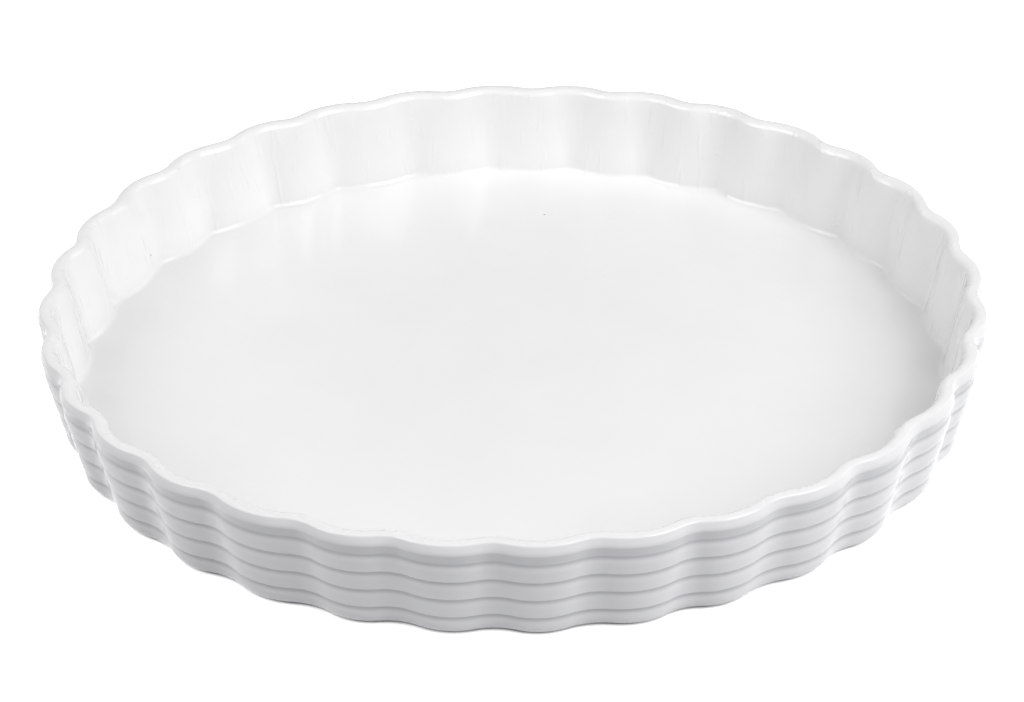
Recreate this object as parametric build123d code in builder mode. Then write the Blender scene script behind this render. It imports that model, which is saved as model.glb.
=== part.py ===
from build123d import *
from math import cos, pi, sqrt
import os

# A round fluted quiche dish of glazed stoneware. The clay is formed in one piece: a flat floor, a
# leaning fluted wall with incised lines round the outside, and a thick rounded rim. White glaze is
# fused over all of it but the foot ring, which stays dry so that the dish doesn't stick in the kiln.
# The origin is at the middle of the foot, on the surface that the dish stands on, with +Z up.

# Overall sizes, over the glaze, in millimetres
rim_diameter = 300.0          # across two opposite flute crests at the rim
base_diameter = 287.0         # across two opposite crests where the wall leaves the floor
dish_height = 35.0            # table to the top of the rim
floor_thickness = 4.5
wall_thickness = 4.8          # measured level, at floor and rim alike

# Flutes
flute_count = 32
flute_depth = 2.6             # crest to trough
crest_share = 0.68            # how much of each flute's bend outside the rim is the outward crest
inside_rim_share = 0.45       # the same inside, at the height of the rim
inside_floor_share = 0.12     # and where the inside wall meets the floor: its crests sharpen downwards

# Lines round the outside of the wall
groove_count = 4
groove_spacing = 7.05
groove_rise = 0.65            # from the middle of a line up to the band over it
groove_fall = 1.9             # and down to the full face of the band under it
groove_depth = 0.4

# Rim, corners and edges
rim_band = 6.6                # top line to the top of the rim
rim_swell = 0.3               # how far the rim band stands proud of the wall below it
rim_curl = 2.7                # from the top of the rim down to where it stands widest
rim_round = 2.25              # rounding of the rim, outside and inside
base_round = 2.8              # rounding under the outside of the wall
floor_round = 2.0             # sweep from the floor up into the wall

# Dry foot ring
foot_diameter = 268.0
foot_width = 5.0
foot_height = 1.0             # clear height under the glazed underside
foot_round = 0.4

# Glaze
glaze_thickness = 0.4

# How far the cutter for the inside stands above the rim
overrun = 4.0

# Sizes that follow from those above
rim_radius = rim_diameter / 2
base_radius = base_diameter / 2
wall_top = dish_height - rim_band
groove_heights = [wall_top - groove_spacing * i for i in reversed(range(groove_count))]
floor_top = foot_height + floor_thickness
outside_lean = (rim_radius - rim_swell - base_radius) / (wall_top - foot_height)
floor_radius = base_radius + outside_lean * floor_thickness - wall_thickness
inside_lean = (rim_radius - wall_thickness - floor_radius) / (dish_height - floor_top)
pitch = 360 / flute_count


def touching_arcs(radius, share):
    """Radii of the crest and trough arcs of a fluted ring, each centred on its own spoke, that touch.

    The ring has the given radius at its crests. With s the crest's share of the sum L of the two
    arcs' radii, the centres lie L apart, and the law of cosines between the two spokes then gives a
    quadratic for L.
    """
    c = cos(pi / flute_count)
    low = radius - flute_depth
    square = -2 * share * (1 - share) * (1 - c)
    linear = -2 * (share * (radius - c * low) + (1 - share) * (c * radius - low))
    constant = radius**2 + low**2 - 2 * c * radius * low
    radii_sum = (-linear - sqrt(linear**2 - 4 * square * constant)) / (2 * square)
    return share * radii_sum, (1 - share) * radii_sum


def grown(radius, share, growth):
    """The ring that stands growth outside another: both its arcs keep their centres."""
    crest_arc, trough_arc = touching_arcs(radius, share)
    return radius + growth, (crest_arc + growth) / (crest_arc + trough_arc)


def on_spoke(radius, angle):
    return Vector(radius, 0).rotate(Axis.Z, angle)


def fluted_section(height, radius, share):
    """The fluted ring at a height, from its radius at the crests. A crest lies on +X."""
    crest_arc, trough_arc = touching_arcs(radius, share)
    trough_radius = radius - flute_depth
    crest_centre = on_spoke(radius - crest_arc, 0)
    trough_centre = on_spoke(trough_radius + trough_arc, pitch / 2)
    meeting = crest_centre + (trough_centre - crest_centre).normalized() * crest_arc
    start = Vector(meeting.X, -meeting.Y)
    with BuildLine() as flute:
        ThreePointArc(start, on_spoke(radius, 0), meeting)
        ThreePointArc(meeting, on_spoke(trough_radius, pitch / 2), start.rotate(Axis.Z, pitch))
    with BuildSketch(Plane.XY.offset(height)) as section:
        with BuildLine():
            add([flute.line.rotate(Axis.Z, pitch * i) for i in range(flute_count)])
        make_face()
    return section.sketch


def outside_sections(inset):
    """The outside, drawn in by inset: a leaning wall with its grooves, then the curled rim band."""

    def wall_radius(height):
        return base_radius + outside_lean * (height - foot_height) - inset

    places = [(foot_height + inset, wall_radius(foot_height + inset))]
    for height in groove_heights:
        below, above = height - groove_fall, height + groove_rise
        places.append((below, wall_radius(below)))
        places.append((height, wall_radius(height) - groove_depth))
        places.append((above, wall_radius(above)))
    places[-1] = (dish_height - rim_curl, rim_radius - inset)
    places.append((dish_height - inset, rim_radius - inset))
    return [
        fluted_section(height, *grown(rim_radius, crest_share, radius - rim_radius))
        for height, radius in places
    ]


def inside_sections(inset):
    """The hollow, widened into the clay by inset: its floor, and its wall carried on past the rim."""
    sections = []
    for height in (floor_top - inset, dish_height + overrun):
        rise = (height - floor_top) / (dish_height - floor_top)
        radius = floor_radius + inside_lean * (height - floor_top)
        share = inside_floor_share + (inside_rim_share - inside_floor_share) * rise
        sections.append(fluted_section(height, *grown(radius, share, inset)))
    return sections


def dish_shape(inset):
    """The dish without its foot ring, with every surface drawn in by inset."""
    with BuildPart() as shape:
        loft(outside_sections(inset), ruled=True)
        loft(inside_sections(inset), ruled=True, mode=Mode.SUBTRACT)
        underside, floor, rim = shape.faces().filter_by(Plane.XY).sort_by(Axis.Z)
        fillet(floor.outer_wire().edges(), floor_round + inset)
        fillet(underside.outer_wire().edges(), base_round - inset)
        fillet(rim.outer_wire().edges() + rim.inner_wires()[0].edges(), rim_round - inset)
    return shape.part


# The dish over its glaze, and the bare clay under it
glazed_shape = dish_shape(0)
clay_shape = dish_shape(glaze_thickness)

# Fired clay body: floor, wall and rim in one, with the dry foot ring under the floor
with BuildPart() as dish_body:
    add(clay_shape)
    with BuildSketch():
        Circle(foot_diameter / 2)
        Circle(foot_diameter / 2 - foot_width, mode=Mode.SUBTRACT)
    extrude(amount=foot_height + glaze_thickness)
    foot = dish_body.faces().sort_by(Axis.Z)[0]
    fillet(foot.edges(), foot_round)

# Glaze, in two patches that the dry foot ring keeps apart
with BuildPart() as glaze:
    add(glazed_shape)
    add(dish_body.part, mode=Mode.SUBTRACT)
underside_patch, coat_patch = glaze.solids().sort_by(SortBy.VOLUME)

# Glaze over the outside, the rim and the whole inside
with BuildPart() as glaze_coat:
    add(coat_patch)

# Glaze on the underside, inside the foot ring
with BuildPart() as underside_glaze:
    add(underside_patch)

os.makedirs("parts", exist_ok=True)
dish_body.part.label = "dish_body"
export_step(dish_body.part, "parts/dish_body.step")
glaze_coat.part.label = "glaze_coat"
export_step(glaze_coat.part, "parts/glaze_coat.step")
underside_glaze.part.label = "underside_glaze"
export_step(underside_glaze.part, "parts/underside_glaze.step")
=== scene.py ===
# A round fluted quiche dish of white glazed stoneware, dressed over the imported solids.
# Lengths are in metres, in the solids' own frame: the middle of the foot is the origin, +Z is up
# and a flute crest lies on +X.
from math import atan, cos, pi, radians, sin, sqrt

import bpy
import numpy as np
from mathutils import Matrix, Vector


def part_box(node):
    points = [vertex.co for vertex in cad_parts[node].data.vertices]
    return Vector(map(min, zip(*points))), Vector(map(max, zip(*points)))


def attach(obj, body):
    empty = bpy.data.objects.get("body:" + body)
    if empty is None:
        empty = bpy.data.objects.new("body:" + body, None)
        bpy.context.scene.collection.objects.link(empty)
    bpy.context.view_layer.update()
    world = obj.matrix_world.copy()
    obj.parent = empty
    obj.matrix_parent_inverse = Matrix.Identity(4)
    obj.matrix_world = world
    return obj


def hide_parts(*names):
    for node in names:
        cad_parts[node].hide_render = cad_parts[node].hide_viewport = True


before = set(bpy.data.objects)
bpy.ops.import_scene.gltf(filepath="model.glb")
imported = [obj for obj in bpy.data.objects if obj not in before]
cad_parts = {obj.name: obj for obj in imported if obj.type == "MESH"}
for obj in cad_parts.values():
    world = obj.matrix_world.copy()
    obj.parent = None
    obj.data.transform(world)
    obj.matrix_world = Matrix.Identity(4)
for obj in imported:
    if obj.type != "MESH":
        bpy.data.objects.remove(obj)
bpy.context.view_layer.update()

mm = 0.001

# Sizes that the solids already hold
coatLow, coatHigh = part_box("glaze_coat")
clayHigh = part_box("dish_body")[1]
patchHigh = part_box("underside_glaze")[1]
rimRadius = coatHigh.x
dishHeight = coatHigh.z
footHeight = coatLow.z
glazeThickness = coatHigh.z - clayHigh.z
footInnerRadius = patchHigh.x
print("solids loaded, dish", round(2 * rimRadius / mm, 1), "mm across")


# The form of the dish
dish = {
    "fluteCount": 32,
    "fluteDepth": 2.6 * mm,        # crest to trough
    "crestShare": 0.68,            # of the bend at the rim that is outward crest
    "insideCrestShare": 0.45,      # the same inside the rim
    "floorCrestShare": 0.12,       # and at the foot of the inside wall, where crests are sharp
    "baseRadius": 143.5 * mm,      # at a crest, where the wall leaves the floor
    "wallThickness": 4.8 * mm,
    "floorThickness": 4.5 * mm,
    "rimBand": 6.6 * mm,           # top line to the top of the rim
    "rimLip": 0.15 * mm,           # top line to where the rim band starts to curl out
    "rimSwell": 0.3 * mm,          # how far the rim stands proud of the wall at the top line
    "rimTuck": 0.9 * mm,           # how far the rim band curls in to the top line
    "rimTuckBend": 1.15,           # power of the way down that the curl follows
    "rimCurl": 3.05 * mm,          # from the top of the rim down to where it stands widest
    "rimCrown": 2.4 * mm,          # from the widest place in to the top of the rim
    "rimInner": 2.4 * mm,          # height of the rounding from the top of the rim down inside
    "rimLean": (8, 17, 55, 10),    # degrees that the rim's outer side turns: at its widest place,
                                   # up its face, round its corner and on to the top
    "rimCorner": (0.5, 0.68),      # shares of the way round where that corner starts and ends
    "lineCount": 4,
    "lineSpacing": 7.05 * mm,
    "lineDepth": 0.36 * mm,
    "lineRise": 0.65 * mm,         # from the line up to the edge of the band over it
    "lineFall": 3.2 * mm,          # from the line down to the full face of the band under it
    "bandBulge": 0.08 * mm,        # how far each band rounds out between two lines
    "beadHeight": 0.06 * mm,       # slight roll of clay that the tool leaves above each line
    "beadLift": 1.15 * mm,         # from the line up to the middle of its bead
    "beadHalfWidth": 0.5 * mm,
    "baseRound": 2.8 * mm,         # rounding under the outside of the wall
    "floorRound": 2.0 * mm,        # sweep from the floor up into the wall
    "footOuterRadius": 134.0 * mm,
    "footRound": 0.4 * mm,
    "columnsPerFlute": 20,
}

# What a hand leaves
handwork = {
    "seed": 2705,
    "fluteDrift": 0.8,             # degrees that a flute strays from its even place
    "wallWobble": 0.22 * mm,       # how far the wall stands in from its true round
    "rimDip": 0.35 * mm,           # how far the rim falls below its highest point
    "lineWander": 0.16 * mm,       # how far the lines stray up and down
    "beadFade": 0.75,              # share of a bead that comes and goes along its line
    "waves": {                     # of each: the step from the seed, and the turns round the dish
        "drift": (1, (3, 5, 8, 13, 17)),
        "wobble": (2, (2, 3, 4, 7)),
        "dip": (3, (2, 3, 5, 9, 14)),
        "wander": (4, (3, 6, 11, 19)),
        "fade": (5, (4, 9, 15, 23)),
    },
}

halfPitch = pi / dish["fluteCount"]
topLine = dishHeight - dish["rimBand"]
lineHeights = topLine - dish["lineSpacing"] * np.arange(dish["lineCount"])[::-1]
floorTop = footHeight + dish["floorThickness"]
outsideLean = (rimRadius - dish["rimSwell"] - dish["baseRadius"]) / (topLine - footHeight)
floorRadius = dish["baseRadius"] + outsideLean * dish["floorThickness"] - dish["wallThickness"]
insideLean = (rimRadius - dish["wallThickness"] - floorRadius) / (dishHeight - floorTop)


# Radii of the crest and trough arcs of a fluted ring, from its radius at a crest and the crest's
# share s of the sum L of the two radii. Each arc is centred on its own spoke and they touch, so the
# centres lie L apart, and the law of cosines between the spokes gives a quadratic for L.
def touchingArcs(crestRadius, share):
    turn, low = cos(halfPitch), crestRadius - dish["fluteDepth"]
    square = -2 * share * (1 - share) * (1 - turn)
    linear = -2 * (share * (crestRadius - turn * low) + (1 - share) * (turn * crestRadius - low))
    constant = crestRadius**2 + low**2 - 2 * turn * crestRadius * low
    total = (-linear - np.sqrt(linear**2 - 4 * square * constant)) / (2 * square)
    return share * total, (1 - share) * total


rimCrestArc, rimTroughArc = touchingArcs(rimRadius, dish["crestShare"])


# The crest's share on any ring of the outside, where the arcs keep the centres that they have at
# the rim, so that only the crest's radius changes and the sum stays
def outsideCrestShare(crestRadius):
    return (rimCrestArc - (rimRadius - crestRadius)) / (rimCrestArc + rimTroughArc)


# Radius of fluted rings at the angles theta, one row for each crest radius and share. From a crest
# the ring follows the crest's arc as far as the line between the two arcs' centres, then the
# trough's arc.
def outlineRadius(theta, crestRadius, share):
    crestArc, troughArc = touchingArcs(crestRadius, share)
    crestCentre = crestRadius - crestArc
    troughCentre = crestRadius - dish["fluteDepth"] + troughArc
    turn = np.abs((theta + halfPitch) % (2 * halfPitch) - halfPitch)
    back = turn - halfPitch
    reach = crestArc / (crestArc + troughArc)
    meet = np.arctan2(troughCentre * sin(halfPitch) * reach,
                      crestCentre + (troughCentre * cos(halfPitch) - crestCentre) * reach)
    onCrest = crestCentre * np.cos(turn) + np.sqrt(
        np.maximum(crestArc**2 - (crestCentre * np.sin(turn))**2, 0))
    onTrough = troughCentre * np.cos(back) - np.sqrt(
        np.maximum(troughArc**2 - (troughCentre * np.sin(back))**2, 0))
    return np.where(turn < meet, onCrest, onTrough)


# A slow uneven wave round the dish, from -1 to 1: sines of whole numbers of turns, each number
# with its own height and start from the seed
def slowWave(theta, name):
    step, turns = handwork["waves"][name]
    source = np.random.default_rng(handwork["seed"] + step)
    heights = source.uniform(0.4, 1.0, len(turns))
    starts = source.uniform(0, 2 * pi, len(turns))
    waves = [height * np.sin(turn * theta + start)
             for turn, height, start in zip(turns, heights, starts)]
    return sum(waves) / heights.sum()


# The same kind of wave from 0 to 1
def slowSwell(theta, name):
    return 0.5 + 0.5 * slowWave(theta, name)


# Points on part of an ellipse in the plane of a crest, as rows of (radius, height)
def ellipsePart(centre, across, up, firstTurn, lastTurn, count):
    turn = np.linspace(firstTurn, lastTurn, count)
    return np.stack([centre[0] + across * np.cos(turn), centre[1] + up * np.sin(turn)], axis=1)


# The rim's outer side as rows of (way in, way up), each from 0 to 1. Its tilt grows slowly up the
# face, quickly round the corner and slowly again to the top, and the sines and cosines of the tilt
# are summed along it. The rows are wide on the face and the top and close round the corner.
def rimCorner():
    fine = np.linspace(0, 1, 201)
    atWidest, onFace, atCorner, onTop = np.radians(dish["rimLean"])
    start, end = dish["rimCorner"]
    turned = np.clip((fine - start) / (end - start), 0, 1)
    tilt = atWidest + onFace * np.clip(fine / start, 0, 1) + atCorner * turned**2 * (3 - 2 * turned)
    tilt = tilt + onTop * np.clip((fine - end) / (1 - end), 0, 1)
    steps = np.stack([np.sin(tilt), np.cos(tilt)], axis=1)
    path = np.concatenate([[[0, 0]], np.cumsum((steps[1:] + steps[:-1]) / 2, axis=0)])
    path /= path[-1]
    places = np.concatenate([
        np.linspace(0, 0.46, 4), np.linspace(0.51, 0.7, 7), np.linspace(0.78, 1, 3)])
    return np.stack([np.interp(places, fine, way) for way in path.T], axis=1)


# How near each height is to a line: 1 in it, and smoothly down to 0 at the rise above it and at
# the fall below it
def nearLine(heights, rise, fall):
    away = heights[:, None] - lineHeights[None, :]
    near = np.clip(1 - np.where(away > 0, away / rise, -away / fall), 0, 1)
    return (near**2 * (3 - 2 * near)).sum(axis=1)


# The outside wall between the rounded base and the rim: a straight lean, with each band between
# two lines rounded out a little as a parabola, and the lines cut in. Each band stands over the
# line below it and slopes out of the line above it.
def outsideRadius(heights):
    edges = np.concatenate([[footHeight], lineHeights, [dishHeight]])
    band = np.clip(np.searchsorted(edges, heights) - 1, 0, len(edges) - 2)
    share = (heights - edges[band]) / (edges[band + 1] - edges[band])
    bulge = dish["bandBulge"] * 4 * share * (1 - share)
    cut = dish["lineDepth"] * nearLine(heights, dish["lineRise"], dish["lineFall"])
    return dish["baseRadius"] + outsideLean * (heights - footHeight) + bulge - cut


# The inside wall at a crest: a straight lean up from the floor
def insideRadius(height):
    return floorRadius + insideLean * (height - floorTop)


# The whole glazed section at a crest, from the foot ring out, up, over the rim, down and in to
# the middle of the floor. Each row is (radius, height), with how much of the fluting it keeps, the
# crest radius that its fluting is worked out for, and the crest's share there.
def glazedSection():
    # Underneath: flat, with the glaze's edge rounded up to the foot ring, then the rounded base
    baseRound, slant = dish["baseRound"], sqrt(1 + outsideLean**2)
    baseCentre = (dish["baseRadius"] + outsideLean * baseRound - baseRound * slant,
                  footHeight + baseRound)
    under = np.stack([np.linspace(dish["footOuterRadius"], baseCentre[0], 5)[:-1],
                      np.full(4, footHeight)], axis=1)
    under[0, 1] += glazeThickness / 2
    base = ellipsePart(baseCentre, baseRound, baseRound, -pi / 2, -atan(outsideLean), 8)

    # Wall: close rows in the lines and their beads, wide ones on the bands
    overLine = np.array([0.15, 0.4, 0.7, 1]) * dish["lineRise"]
    underLine = -np.array([0, 0.1, 0.25, 0.42, 0.6, 0.8, 1]) * dish["lineFall"]
    onBeads = dish["beadLift"] + np.array([-0.25, 0.45, 1.3]) * dish["beadHalfWidth"]
    offsets = np.concatenate([underLine, overLine, onBeads, [dish["lineSpacing"] * 0.5]])
    heights = (lineHeights[:, None] + offsets[None, :]).ravel()
    lowBand = np.linspace(base[-1, 1], heights.min(), 4)[1:-1]
    heights = np.sort(np.concatenate([heights, lowBand]))
    lip = topLine + dish["rimLip"]
    heights = heights[heights < lip]
    wall = np.stack([outsideRadius(heights), heights], axis=1)

    # Rim: curls out above the top line, leans back from its widest place, then rounds over
    widest, crownRadius = dishHeight - dish["rimCurl"], rimRadius - dish["rimCrown"]
    rise = np.linspace(lip, widest, 10)[1:-1]
    fall = (widest - rise) / (widest - lip)
    curl = np.stack([rimRadius - dish["rimTuck"] * fall**dish["rimTuckBend"], rise], axis=1)
    outerRim = np.array([rimRadius, widest]) + rimCorner() * [-dish["rimCrown"], dish["rimCurl"]]
    innerUp = dish["rimInner"]
    innerCentre = (crownRadius, dishHeight - innerUp)
    gap = crownRadius - insideRadius(innerCentre[1])
    innerAcross = sqrt(gap**2 - (insideLean * innerUp)**2)
    innerRim = ellipsePart(innerCentre, innerAcross, innerUp, pi / 2,
                           pi - atan(insideLean * innerUp / innerAcross), 10)[1:]

    # Inside: the wall down to the sweep, the sweep, and the floor in to the middle
    sweep = dish["floorRound"]
    sweepCentre = (insideRadius(floorTop + sweep) - sweep * sqrt(1 + insideLean**2),
                   floorTop + sweep)
    sweepArc = ellipsePart(sweepCentre, sweep, sweep, -atan(insideLean), -pi / 2, 10)
    down = np.linspace(innerRim[-1, 1], sweepArc[0, 1], 9)[1:-1]
    insideWall = np.stack([insideRadius(down), down], axis=1)
    inward = np.linspace(1, 0, 11)[1:]
    floor = np.stack([sweepCentre[0] * inward, np.full(len(inward), floorTop)], axis=1)

    # The fluting grows from the foot ring out to the base, and fades in over the floor
    outside = np.concatenate([under, base, wall, curl, outerRim])
    rows = np.concatenate([outside, innerRim, insideWall, sweepArc, floor])
    keeps = np.ones(len(rows))
    keeps[:len(under)] = np.linspace(0, 1, len(under) + 1)[:-1]
    keeps[-len(floor):] = inward**3
    fluted = rows[:, 0].copy()
    fluted[:len(under)] = baseCentre[0]
    fluted[-len(floor):] = sweepCentre[0]

    # Over the rim the crests narrow to the inside's own share, within three times the height of
    # the inner rounding, and they sharpen on the way down to the floor
    shares = outsideCrestShare(fluted)
    crown = len(outside) - 1
    depth = dishHeight - floorTop
    fromTop = np.clip((dishHeight - rows[crown:, 1]) / depth, 0, 1)
    atRim, atFloor = dish["insideCrestShare"], dish["floorCrestShare"]
    inside = atRim + (atFloor - atRim) * fromTop
    over = np.clip(fromTop * depth / (3 * innerUp), 0, 1)
    shares[crown:] = shares[crown] + (inside - shares[crown]) * over * (2 - over)
    return rows, keeps, fluted, shares


# How far the bead above each line stands out at each height: a bell round its own middle
def beadRise(heights):
    away = (heights[:, None] - lineHeights[None, :] - dish["beadLift"]) / dish["beadHalfWidth"]
    return (dish["beadHeight"] * np.exp(-away**2) * (np.abs(away) < 3)).sum(axis=1)


# The section moved into the clay by a depth, along its own normals
def sectionBelow(rows, depth):
    along = np.gradient(rows, axis=0)
    along /= np.linalg.norm(along, axis=1)[:, None]
    normal = np.stack([along[:, 1], -along[:, 0]], axis=1)
    below = rows - depth * normal
    below[-1, 0] = 0
    return below


# 1 for the rows of the outside wall, 0 for those of the inside and the floor
def outsideShare(rows):
    return (rows[:, 0] > insideRadius(rows[:, 1]) + dish["wallThickness"] / 2).astype(float)


# Points of the dish at the angles theta for each row of a section. The row's share of the fluted
# outline's shape is carried on its radius. The slow waves turn the flutes, move the wall in, fade
# the beads, lower the rim and stray the lines up and down, more with height and not on the floor.
def ringPoints(rows, keeps, fluted, shares, theta):
    drift = radians(handwork["fluteDrift"]) * slowWave(theta, "drift")
    shape = outlineRadius(theta + drift, fluted[:, None], shares[:, None]) / fluted[:, None]
    radius = rows[:, :1] * (1 + keeps[:, None] * (shape - 1))
    rise = np.clip((rows[:, 1:] - footHeight) / (dishHeight - footHeight), 0, 1)
    inside = np.clip(rows[:, :1] / dish["footOuterRadius"], 0, 1)**4
    wobble = handwork["wallWobble"] * slowSwell(theta, "wobble")
    radius = radius - wobble * rise * inside
    fade = 1 - handwork["beadFade"] * slowSwell(theta, "fade")
    radius = radius + (outsideShare(rows) * beadRise(rows[:, 1]))[:, None] * fade
    dip = handwork["rimDip"] * slowSwell(theta, "dip")
    wander = handwork["lineWander"] * slowWave(theta, "wander")
    height = rows[:, 1:] - dip * rise**2 * inside + wander * rise * (1 - rise) * 4 * inside
    return np.stack([radius * np.cos(theta), radius * np.sin(theta), height], axis=2)


# Plain round rings: the rows of a section turned about the dish's axis to the angles theta
def turnedRings(rows, theta):
    return np.stack([rows[:, :1] * np.cos(theta), rows[:, :1] * np.sin(theta),
                     rows[:, 1:] * np.ones(len(theta))], axis=2)


# A closed mesh from rings of points: quads between neighbouring rings, and a fan of triangles from
# the first and last ring to the pole points. The faces are turned so that the volume is positive.
def meshFromRings(name, rings, firstPole, lastPole, material):
    ringCount, columns = rings.shape[:2]
    points = np.concatenate([rings.reshape(-1, 3), [firstPole, lastPole]])
    index = np.arange(ringCount * columns).reshape(ringCount, columns)
    following = np.roll(index, -1, axis=1)
    quads = np.stack([index[:-1], following[:-1], following[1:], index[1:]], axis=2).reshape(-1, 4)
    firstFan = np.stack([following[0], index[0], np.full(columns, len(points) - 2)], axis=1)
    lastFan = np.stack([index[-1], following[-1], np.full(columns, len(points) - 1)], axis=1)
    fans = np.concatenate([firstFan, lastFan])
    corners = np.concatenate([quads[:, [0, 1, 2]], quads[:, [0, 2, 3]], fans])
    a, b, c = points[corners[:, 0]], points[corners[:, 1]], points[corners[:, 2]]
    if np.einsum("ij,ij->", a, np.cross(b, c)) < 0:
        quads, fans = quads[:, ::-1], fans[:, ::-1]
    mesh = bpy.data.meshes.new(name)
    mesh.vertices.add(len(points))
    mesh.vertices.foreach_set("co", points.ravel())
    loops = np.concatenate([quads.ravel(), fans.ravel()])
    starts = np.concatenate([np.arange(len(quads)) * 4, len(quads) * 4 + np.arange(len(fans)) * 3])
    mesh.loops.add(len(loops))
    mesh.loops.foreach_set("vertex_index", loops.astype(np.int32))
    mesh.polygons.add(len(starts))
    mesh.polygons.foreach_set("loop_start", starts.astype(np.int32))
    mesh.polygons.foreach_set("use_smooth", np.ones(len(starts), dtype=bool))
    mesh.update(calc_edges=True)
    mesh.validate()
    mesh.materials.append(material)
    piece = bpy.data.objects.new(name, mesh)
    bpy.context.collection.objects.link(piece)
    print(name, len(corners), "triangles")
    return piece


# One number for each point of a piece, for its material to read
def addAttribute(piece, name, values):
    layer = piece.data.attributes.new(name, "FLOAT", "POINT")
    layer.data.foreach_set("value", np.asarray(values, dtype=np.float32).ravel())


# Materials
def newMaterial(name):
    material = bpy.data.materials.new(name)
    material.use_nodes = True
    nodes, links = material.node_tree.nodes, material.node_tree.links
    return material, nodes, links, nodes["Principled BSDF"]


# Each setting is a property of the node or, with _ for a space, the value of a socket
def addNode(nodes, kind, **settings):
    node = nodes.new("ShaderNode" + kind)
    for key, value in settings.items():
        if hasattr(node, key):
            setattr(node, key, value)
        else:
            node.inputs[key.replace("_", " ")].default_value = value
    return node


# A pattern that is fixed to the piece by its Object coordinates
def addPattern(nodes, links, place, kind, **settings):
    pattern = addNode(nodes, kind, **settings)
    links.new(place.outputs["Object"], pattern.inputs["Vector"])
    return pattern


# A ramp between two end values, while the value that drives it goes through its span
def addRamp(nodes, links, value, span, ends):
    ramp = addNode(nodes, "MapRange", From_Min=span[0], From_Max=span[1],
                   To_Min=ends[0], To_Max=ends[1])
    links.new(value, ramp.inputs["Value"])
    return ramp.outputs["Result"]


# A bump of the surface that is added to the one before it, if there is one
def addBump(nodes, links, rise, height, before=None):
    bump = addNode(nodes, "Bump", Strength=1.0, Distance=height)
    links.new(rise, bump.inputs["Height"])
    if before is not None:
        links.new(before, bump.inputs["Normal"])
    return bump.outputs["Normal"]


# Scales are to the metre
glazeLook = {
    "colour": (0.85, 0.851, 0.857, 1),    # the coat outside
    "thick": (0.93, 0.93, 0.932, 1),      # painted light: the inside wall shown lighter than the outside, and the floor half as much
    "pooledAndShaded": (0.56, 0.565, 0.585, 1),    # darker in the lines and under the rim band: partly glaze gathered there, mostly painted shade of the recesses
    "speck": (0.18, 0.16, 0.14, 1),
    "roughness": 0.075,
    "refraction": 1.52,
    "mottle": 35.0,                       # slow changes of tone
    "mottleDepth": 0.05,
    "pinholes": 22.0,
    "pinholeSpan": (0.006, 0.010),        # from the dark middle of a pinhole to clean glaze
    "waves": 26.0,                        # slow swells
    "waveHeight": 0.2 * mm,
    "peel": 420.0,                        # orange peel dimples
    "peelHeight": 0.014 * mm,
    "runs": (420.0, 420.0, 12.0),         # glaze runs down the inside wall, each way
    "runSpan": (0.58, 0.75),              # the part of the noise that stands up as runs
    "runHeight": 0.13 * mm,
    "beads": 75.0,                        # small raised beads of glaze among the runs
    "beadSpan": (0.02, 0.06),             # from the top of a bead to its edge
}


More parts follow.
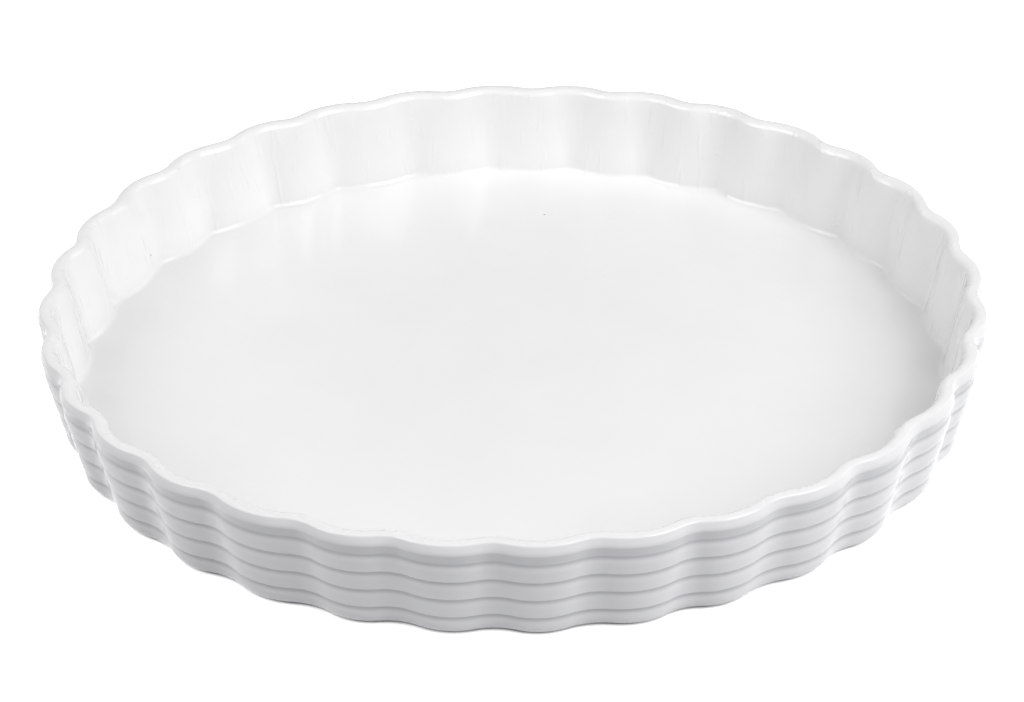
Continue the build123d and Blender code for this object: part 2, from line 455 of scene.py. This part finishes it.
def makeGlaze():
    material, nodes, links, shader = newMaterial("whiteGlaze")
    place = addNode(nodes, "TexCoord")

    # Colour: painted lighter on the inside wall and the floor, which is painted light, a little
    # mottled, and darker in the lines and under the rim band, partly gathered glaze and mostly
    # painted shade
    # Painted light: the inside wall and the floor are given a lighter colour than the outside, so
    # that they show brighter
    paintedLightShare = addNode(nodes, "Attribute", attribute_name="paintedLightShare")
    coat = addNode(nodes, "MixRGB", Color1=glazeLook["colour"], Color2=glazeLook["thick"])
    links.new(paintedLightShare.outputs["Fac"], coat.inputs["Fac"])
    mottle = addPattern(nodes, links, place, "TexNoise", Scale=glazeLook["mottle"], Detail=3.0)
    tone = addNode(nodes, "MixRGB", blend_type="MULTIPLY", Fac=glazeLook["mottleDepth"])
    links.new(coat.outputs["Color"], tone.inputs["Color1"])
    links.new(mottle.outputs["Fac"], tone.inputs["Color2"])
    # Painted shade: the colour is darkened in the lines and under the rim band, where shade falls,
    # besides some glaze gathered in the lines
    poolAndShade = addNode(nodes, "Attribute", attribute_name="poolAndShade")
    gatheredAndShaded = addNode(nodes, "MixRGB", Color2=glazeLook["pooledAndShaded"])
    links.new(poolAndShade.outputs["Fac"], gatheredAndShaded.inputs["Fac"])
    links.new(tone.outputs["Color"], gatheredAndShaded.inputs["Color1"])

    # A few pinholes: small spots round the points of a wide cell pattern
    cells = addPattern(nodes, links, place, "TexVoronoi", Scale=glazeLook["pinholes"])
    spot = addRamp(nodes, links, cells.outputs["Distance"], glazeLook["pinholeSpan"], (1.0, 0.0))
    speckled = addNode(nodes, "MixRGB", Color2=glazeLook["speck"])
    links.new(spot, speckled.inputs["Fac"])
    links.new(gatheredAndShaded.outputs["Color"], speckled.inputs["Color1"])
    links.new(speckled.outputs["Color"], shader.inputs["Base Color"])

    # On the inside wall: thin runs, from noise drawn out along the height with only its peaks
    # kept, and beads round the points of a cell pattern, whichever stands higher
    stretch = addPattern(nodes, links, place, "Mapping")
    stretch.inputs["Scale"].default_value = glazeLook["runs"]
    streaks = addNode(nodes, "TexNoise", Scale=1.0, Detail=1.0)
    links.new(stretch.outputs["Vector"], streaks.inputs["Vector"])
    runs = addRamp(nodes, links, streaks.outputs["Fac"], glazeLook["runSpan"], (0.0, 1.0))
    scatter = addPattern(nodes, links, place, "TexVoronoi", Scale=glazeLook["beads"])
    beads = addRamp(nodes, links, scatter.outputs["Distance"], glazeLook["beadSpan"], (1.0, 0.0))
    raised = addNode(nodes, "Math", operation="MAXIMUM")
    links.new(runs, raised.inputs[0])
    links.new(beads, raised.inputs[1])
    inside = addNode(nodes, "Attribute", attribute_name="insideWall")
    onWall = addNode(nodes, "Math", operation="MULTIPLY")
    links.new(raised.outputs[0], onWall.inputs[0])
    links.new(inside.outputs["Fac"], onWall.inputs[1])

    # Relief: the runs and beads, then slow swells, then orange peel
    swells = addPattern(nodes, links, place, "TexNoise", Scale=glazeLook["waves"], Detail=2.0)
    peel = addPattern(nodes, links, place, "TexNoise", Scale=glazeLook["peel"], Detail=1.0)
    relief = addBump(nodes, links, onWall.outputs[0], glazeLook["runHeight"])
    relief = addBump(nodes, links, swells.outputs["Fac"], glazeLook["waveHeight"], relief)
    relief = addBump(nodes, links, peel.outputs["Fac"], glazeLook["peelHeight"], relief)
    links.new(relief, shader.inputs["Normal"])
    shader.inputs["Roughness"].default_value = glazeLook["roughness"]
    shader.inputs["IOR"].default_value = glazeLook["refraction"]
    return material


clayLook = {
    "colour": (0.60, 0.55, 0.46, 1),
    "worn": (0.42, 0.39, 0.34, 1),
    "wear": 90.0,                  # patches to the metre
    "wearSpan": (0.45, 0.75),      # the part of the noise that shows as wear
    "wearDepth": 0.7,
    "grain": 1400.0,               # sandy tooth, to the metre
    "grainHeight": 0.15 * mm,
    "roughness": 0.9,
}


def makeClay():
    material, nodes, links, shader = newMaterial("bareStoneware")
    place = addNode(nodes, "TexCoord")
    wear = addPattern(nodes, links, place, "TexNoise", Scale=clayLook["wear"], Detail=3.0)
    amount = addRamp(nodes, links, wear.outputs["Fac"], clayLook["wearSpan"],
                     (0.0, clayLook["wearDepth"]))
    mix = addNode(nodes, "MixRGB", Color1=clayLook["colour"], Color2=clayLook["worn"])
    links.new(amount, mix.inputs["Fac"])
    links.new(mix.outputs["Color"], shader.inputs["Base Color"])
    grain = addPattern(nodes, links, place, "TexNoise", Scale=clayLook["grain"], Detail=4.0)
    tooth = addBump(nodes, links, grain.outputs["Fac"], clayLook["grainHeight"])
    links.new(tooth, shader.inputs["Normal"])
    shader.inputs["Roughness"].default_value = clayLook["roughness"]
    return material


glaze = makeGlaze()
clay = makeClay()
print("materials made")


# The pieces. The coat takes every angle, and what lies under it every other one.
section, *fluting = glazedSection()
below = sectionBelow(section, glazeThickness)
columns = dish["columnsPerFlute"]
theta = np.arange(dish["fluteCount"] * columns) * 2 * halfPitch / columns
wideTheta = theta[::2]

coatLook = {
    "hiddenStep": 6,               # rows of the section from one ring under the coat to the next
    "lineShadeShare": 0.55,              # share of a line's slope that the darker colour covers, of gathered glaze and painted shade
    "rimShade": 0.5,                # how much painted shade darkens the rim band where it curls in
    "rimShadeDrop": 0.7 * mm,       # from the rim's widest place down to where that painted shade is full
    "floorLightShare": 0.5,              # share of the painted light on the floor, where 1 is the wall
    "paintedLightRise": 6 * mm,            # from the floor up to where it is full
    "runEnd": 0.7 * mm,            # from the floor up to where the runs and beads end
}


# Glaze over the outside, rim and inside: the glazed surface from the foot ring to the middle of
# the floor, closed by some rows of the same section a glaze's thickness down
def makeCoat():
    shown = section[:-1]
    hidden = np.arange(len(shown) - 1, -1, -coatLook["hiddenStep"])
    rings = np.concatenate([
        ringPoints(below[hidden], *[values[hidden] for values in fluting], theta),
        ringPoints(shown, *[values[:-1] for values in fluting], theta)])
    coat = meshFromRings("glazeCoat", rings, (0, 0, below[-1, 1]), (0, 0, section[-1, 1]), glaze)

    # Where the lines and the rim band are darkened by gathered glaze and painted shade, where the
    # runs show, and where the inside is painted lighter
    radius, height = shown.T
    wallThickness = dish["wallThickness"]
    # Painted shade on the lower part of the rim band and in the lines, partly also glaze gathered
    # in the lines
    underRim = np.clip((dishHeight - dish["rimCurl"] - height) / coatLook["rimShadeDrop"], 0, 1)
    underRim *= coatLook["rimShade"] * (height > topLine)
    inLine = nearLine(height, dish["lineRise"], dish["lineFall"] * coatLook["lineShadeShare"])
    poolAndShade = np.maximum(inLine, underRim) * outsideShare(shown)
    onWall = (1 - outsideShare(shown)) * (height > floorTop + coatLook["runEnd"])
    # Painted light: the inside is made lighter, fully on the wall and half on the floor
    across = np.clip((insideRadius(height) + wallThickness - radius) / wallThickness, 0, 1)
    upWall = np.clip((height - floorTop) / coatLook["paintedLightRise"], 0, 1)
    paintedLightShare = across * (height > footHeight + glazeThickness)
    paintedLightShare *= coatLook["floorLightShare"] + (1 - coatLook["floorLightShare"]) * upWall
    for name, rowValues in (("poolAndShade", poolAndShade), ("insideWall", onWall), ("paintedLightShare", paintedLightShare)):
        values = np.concatenate([np.zeros(len(hidden)), rowValues])
        addAttribute(coat, name, np.concatenate([np.repeat(values, len(theta)), [0, values[-1]]]))
    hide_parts("glaze_coat")
    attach(coat, "root")


# Fired clay: the same section a glaze's thickness down, closed underneath by the flat underside
# and the dry foot ring
def makeBody():
    outer, inner, edge = dish["footOuterRadius"], footInnerRadius, dish["footRound"]
    top = footHeight + glazeThickness
    underside = np.linspace(1, 0, 8)[:-1, None] * np.array([[inner, 0]]) + np.array([[0, top]])
    innerEdge = ellipsePart((inner + edge, edge), edge, edge, -pi / 2, -pi, 5)
    outerEdge = ellipsePart((outer - edge, edge), edge, edge, 0, -pi / 2, 5)
    foot = np.concatenate([underside[::-1], innerEdge[::-1], outerEdge[::-1], [[outer, top]]])
    dishRings = ringPoints(below[:-1], *[values[:-1] for values in fluting], wideTheta)
    rings = np.concatenate([turnedRings(foot, wideTheta), dishRings[1:]])
    body = meshFromRings("clayBody", rings, (0, 0, top), (0, 0, below[-1, 1]), clay)
    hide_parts("dish_body")
    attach(body, "root")


# Glaze on the underside: a thin round patch with a rounded edge against the foot ring
def makeUnderside():
    half = glazeThickness / 2
    middle = footHeight + half
    edge = ellipsePart((footInnerRadius - half, middle), half, half, -pi / 2, pi / 2, 7)
    inward = np.linspace(0, 1, 10)[1:-1, None] * np.array([[footInnerRadius - half, 0]])
    lower = inward + np.array([[0, middle - half]])
    upper = inward[::-1] + np.array([[0, middle + half]])
    rings = turnedRings(np.concatenate([lower, edge, upper]), wideTheta)
    lowPole, highPole = (0, 0, middle - half), (0, 0, middle + half)
    patch = meshFromRings("undersideGlaze", rings, lowPole, highPole, glaze)
    for name in ("poolAndShade", "insideWall", "paintedLightShare"):
        addAttribute(patch, name, np.zeros(len(patch.data.vertices)))
    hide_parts("underside_glaze")
    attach(patch, "root")


makeCoat()
makeBody()
makeUnderside()
print("pieces made")


# Floor, light and camera
studio = {
    "floorReach": 1.1,             # from the middle to the edge
    "floorDrop": 0.02 * mm,        # under the foot, so that the two don't lie in one plane
    "floorGap": (2.7 * mm, 1.3 * mm),    # in from the dish's lower edge: where its lift starts and
                                         # where it is full
    "floorLift": 0.66,             # added where the floor is seen, so that it shows white
    "floorSeen": (0.95, 0.95, 0.95, 1),
    "floorBounce": (0.56, 0.565, 0.58, 1),    # what the light meets
    "white": (1, 1, 1, 1),
    "ambient": 0.0,                # strength of the world's light on the dish
    "lampDistance": 1.4,
    "lamps": {
        # name: (degrees round from +X, degrees up, width, height, power)
        "key": (-39, 38, 1.1, 0.9, 13.4),
        "highKey": (-22, 58, 0.5, 0.5, 3.1),
        "left": (193, 43, 0.95, 0.95, 10.1),
        "backRight": (31, 34, 0.5, 0.5, 1.8),
        "backLeft": (140, 43, 0.5, 0.5, 0.8),
        "topStrip": (-93, 77, 1.5, 0.16, 1.3),
    },
}


# One shader for what the camera sees, mirrored or through glass too, and another for the light
def throughLightPath(nodes, links, seen, unseen, output):
    path = nodes.new("ShaderNodeLightPath")
    first = addNode(nodes, "Math", operation="MAXIMUM")
    second = addNode(nodes, "Math", operation="MAXIMUM")
    links.new(path.outputs["Is Camera Ray"], first.inputs[0])
    links.new(path.outputs["Is Glossy Ray"], first.inputs[1])
    links.new(first.outputs[0], second.inputs[0])
    links.new(path.outputs["Is Transmission Ray"], second.inputs[1])
    mix = nodes.new("ShaderNodeMixShader")
    links.new(second.outputs[0], mix.inputs["Fac"])
    links.new(unseen, mix.inputs[1])
    links.new(seen, mix.inputs[2])
    links.new(mix.outputs[0], output.inputs["Surface"])


# A round floor: a fan from the middle to a ring just inside the dish's lower edge, then rings at
# that edge and at the reach. The rings at the edge follow the flutes, and "open" is 0 under the
# dish and 1 in front of it, so that the lift to white leaves the dark gap at the foot.
def makeFloorMesh():
    low = -studio["floorDrop"]
    edge = dish["baseRadius"] - np.array(studio["floorGap"])
    fluted = np.full(2, dish["baseRadius"])
    atEdge = ringPoints(np.stack([edge, np.full(2, low)], axis=1), np.ones(2), fluted,
                        outsideCrestShare(fluted), theta)
    atReach = turnedRings(np.array([[studio["floorReach"], low]]), theta)
    points = np.concatenate([[[0, 0, low]], np.concatenate([atEdge, atReach]).reshape(-1, 3)])
    index = 1 + np.arange(3 * len(theta)).reshape(3, len(theta))
    following = np.roll(index, -1, axis=1)
    fan = np.stack([np.zeros(len(theta), dtype=int), index[0], following[0]], axis=1)
    quads = np.stack([index[:-1], index[1:], following[1:], following[:-1]], axis=2).reshape(-1, 4)
    mesh = bpy.data.meshes.new("floor")
    mesh.from_pydata(points.tolist(), [], fan.tolist() + quads.tolist())
    return mesh


def makeFloor():
    floor = bpy.data.objects.new("floor", makeFloorMesh())
    bpy.context.collection.objects.link(floor)
    addAttribute(floor, "open", np.concatenate([np.zeros(1 + len(theta)), np.ones(2 * len(theta))]))
    material, nodes, links, shader = newMaterial("paleFloor")
    nodes.remove(shader)
    bounce = addNode(nodes, "BsdfDiffuse", Color=studio["floorBounce"])
    plain = addNode(nodes, "BsdfDiffuse", Color=studio["floorSeen"])
    lift = addNode(nodes, "Emission", Color=studio["white"])
    uncovered = addNode(nodes, "Attribute", attribute_name="open")
    strength = addNode(nodes, "Math", operation="MULTIPLY")
    strength.inputs[1].default_value = studio["floorLift"]
    links.new(uncovered.outputs["Fac"], strength.inputs[0])
    links.new(strength.outputs[0], lift.inputs["Strength"])
    seen = nodes.new("ShaderNodeAddShader")
    links.new(plain.outputs[0], seen.inputs[0])
    links.new(lift.outputs[0], seen.inputs[1])
    throughLightPath(nodes, links, seen.outputs[0], bounce.outputs[0], nodes["Material Output"])
    floor.data.materials.append(material)


# The world shows white, and lights the dish by the ambient strength alone
def makeWorld():
    world = bpy.data.worlds.new("studioAir")
    bpy.context.scene.world = world
    world.use_nodes = True
    nodes, links = world.node_tree.nodes, world.node_tree.links
    dim = nodes["Background"]
    dim.inputs["Color"].default_value = studio["white"]
    dim.inputs["Strength"].default_value = studio["ambient"]
    bright = addNode(nodes, "Background", Color=studio["white"], Strength=1.0)
    throughLightPath(nodes, links, bright.outputs[0], dim.outputs[0], nodes["World Output"])


# Softboxes on a dome over the dish, each facing its middle
def makeLights():
    for name, (around, up, width, height, power) in studio["lamps"].items():
        around, up = radians(around), radians(up)
        lamp = bpy.data.lights.new(name + "Softbox", "AREA")
        lamp.shape, lamp.size, lamp.size_y = "RECTANGLE", width, height
        lamp.energy = power
        holder = bpy.data.objects.new(name + "Softbox", lamp)
        outward = Vector((cos(around) * cos(up), sin(around) * cos(up), sin(up)))
        place = outward * studio["lampDistance"]
        holder.location = place
        holder.rotation_euler = place.to_track_quat("Z", "Y").to_euler()
        bpy.context.collection.objects.link(holder)


photoView = {
    "around": -92.79,        # degrees from +X to the camera
    "up": 30.545,            # degrees above the base of the dish
    "distance": 1087 * mm,
    "lookUp": 0.484,         # degrees that it looks above the middle of the base
    "lookLeft": 0.022,
    "tilt": 0.981,           # degrees that the picture leans
    "lens": 118.76,
    "frameWidth": 36.0,
}


# The camera is placed and turned as if it stood on -Y, and then carried round the dish
def makeCamera():
    up = radians(photoView["up"])
    down = radians(photoView["up"] - photoView["lookUp"])
    side = radians(-photoView["lookLeft"])
    tilt = radians(-photoView["tilt"])
    place = Vector((0, -cos(up), sin(up))) * photoView["distance"] + Vector((0, 0, footHeight))
    forward = Vector((sin(side) * cos(down), cos(side) * cos(down), -sin(down)))
    right = forward.cross(Vector((0, 0, 1))).normalized()
    above = right.cross(forward)
    leanRight = right * cos(tilt) + above * sin(tilt)
    leanAbove = above * cos(tilt) - right * sin(tilt)
    turn = Matrix.Rotation(radians(photoView["around"] + 90), 4, "Z")
    axes = Matrix((leanRight, leanAbove, -forward)).transposed().to_4x4()
    camera = bpy.data.cameras.new("photoCamera")
    camera.sensor_width = photoView["frameWidth"]
    camera.lens = photoView["lens"]
    holder = bpy.data.objects.new("photoCamera", camera)
    holder.matrix_world = turn @ Matrix.Translation(place) @ axes
    bpy.context.collection.objects.link(holder)
    bpy.context.scene.camera = holder


makeFloor()
makeWorld()
makeLights()
makeCamera()
bpy.context.scene.view_settings.view_transform = "Standard"
print("studio made")
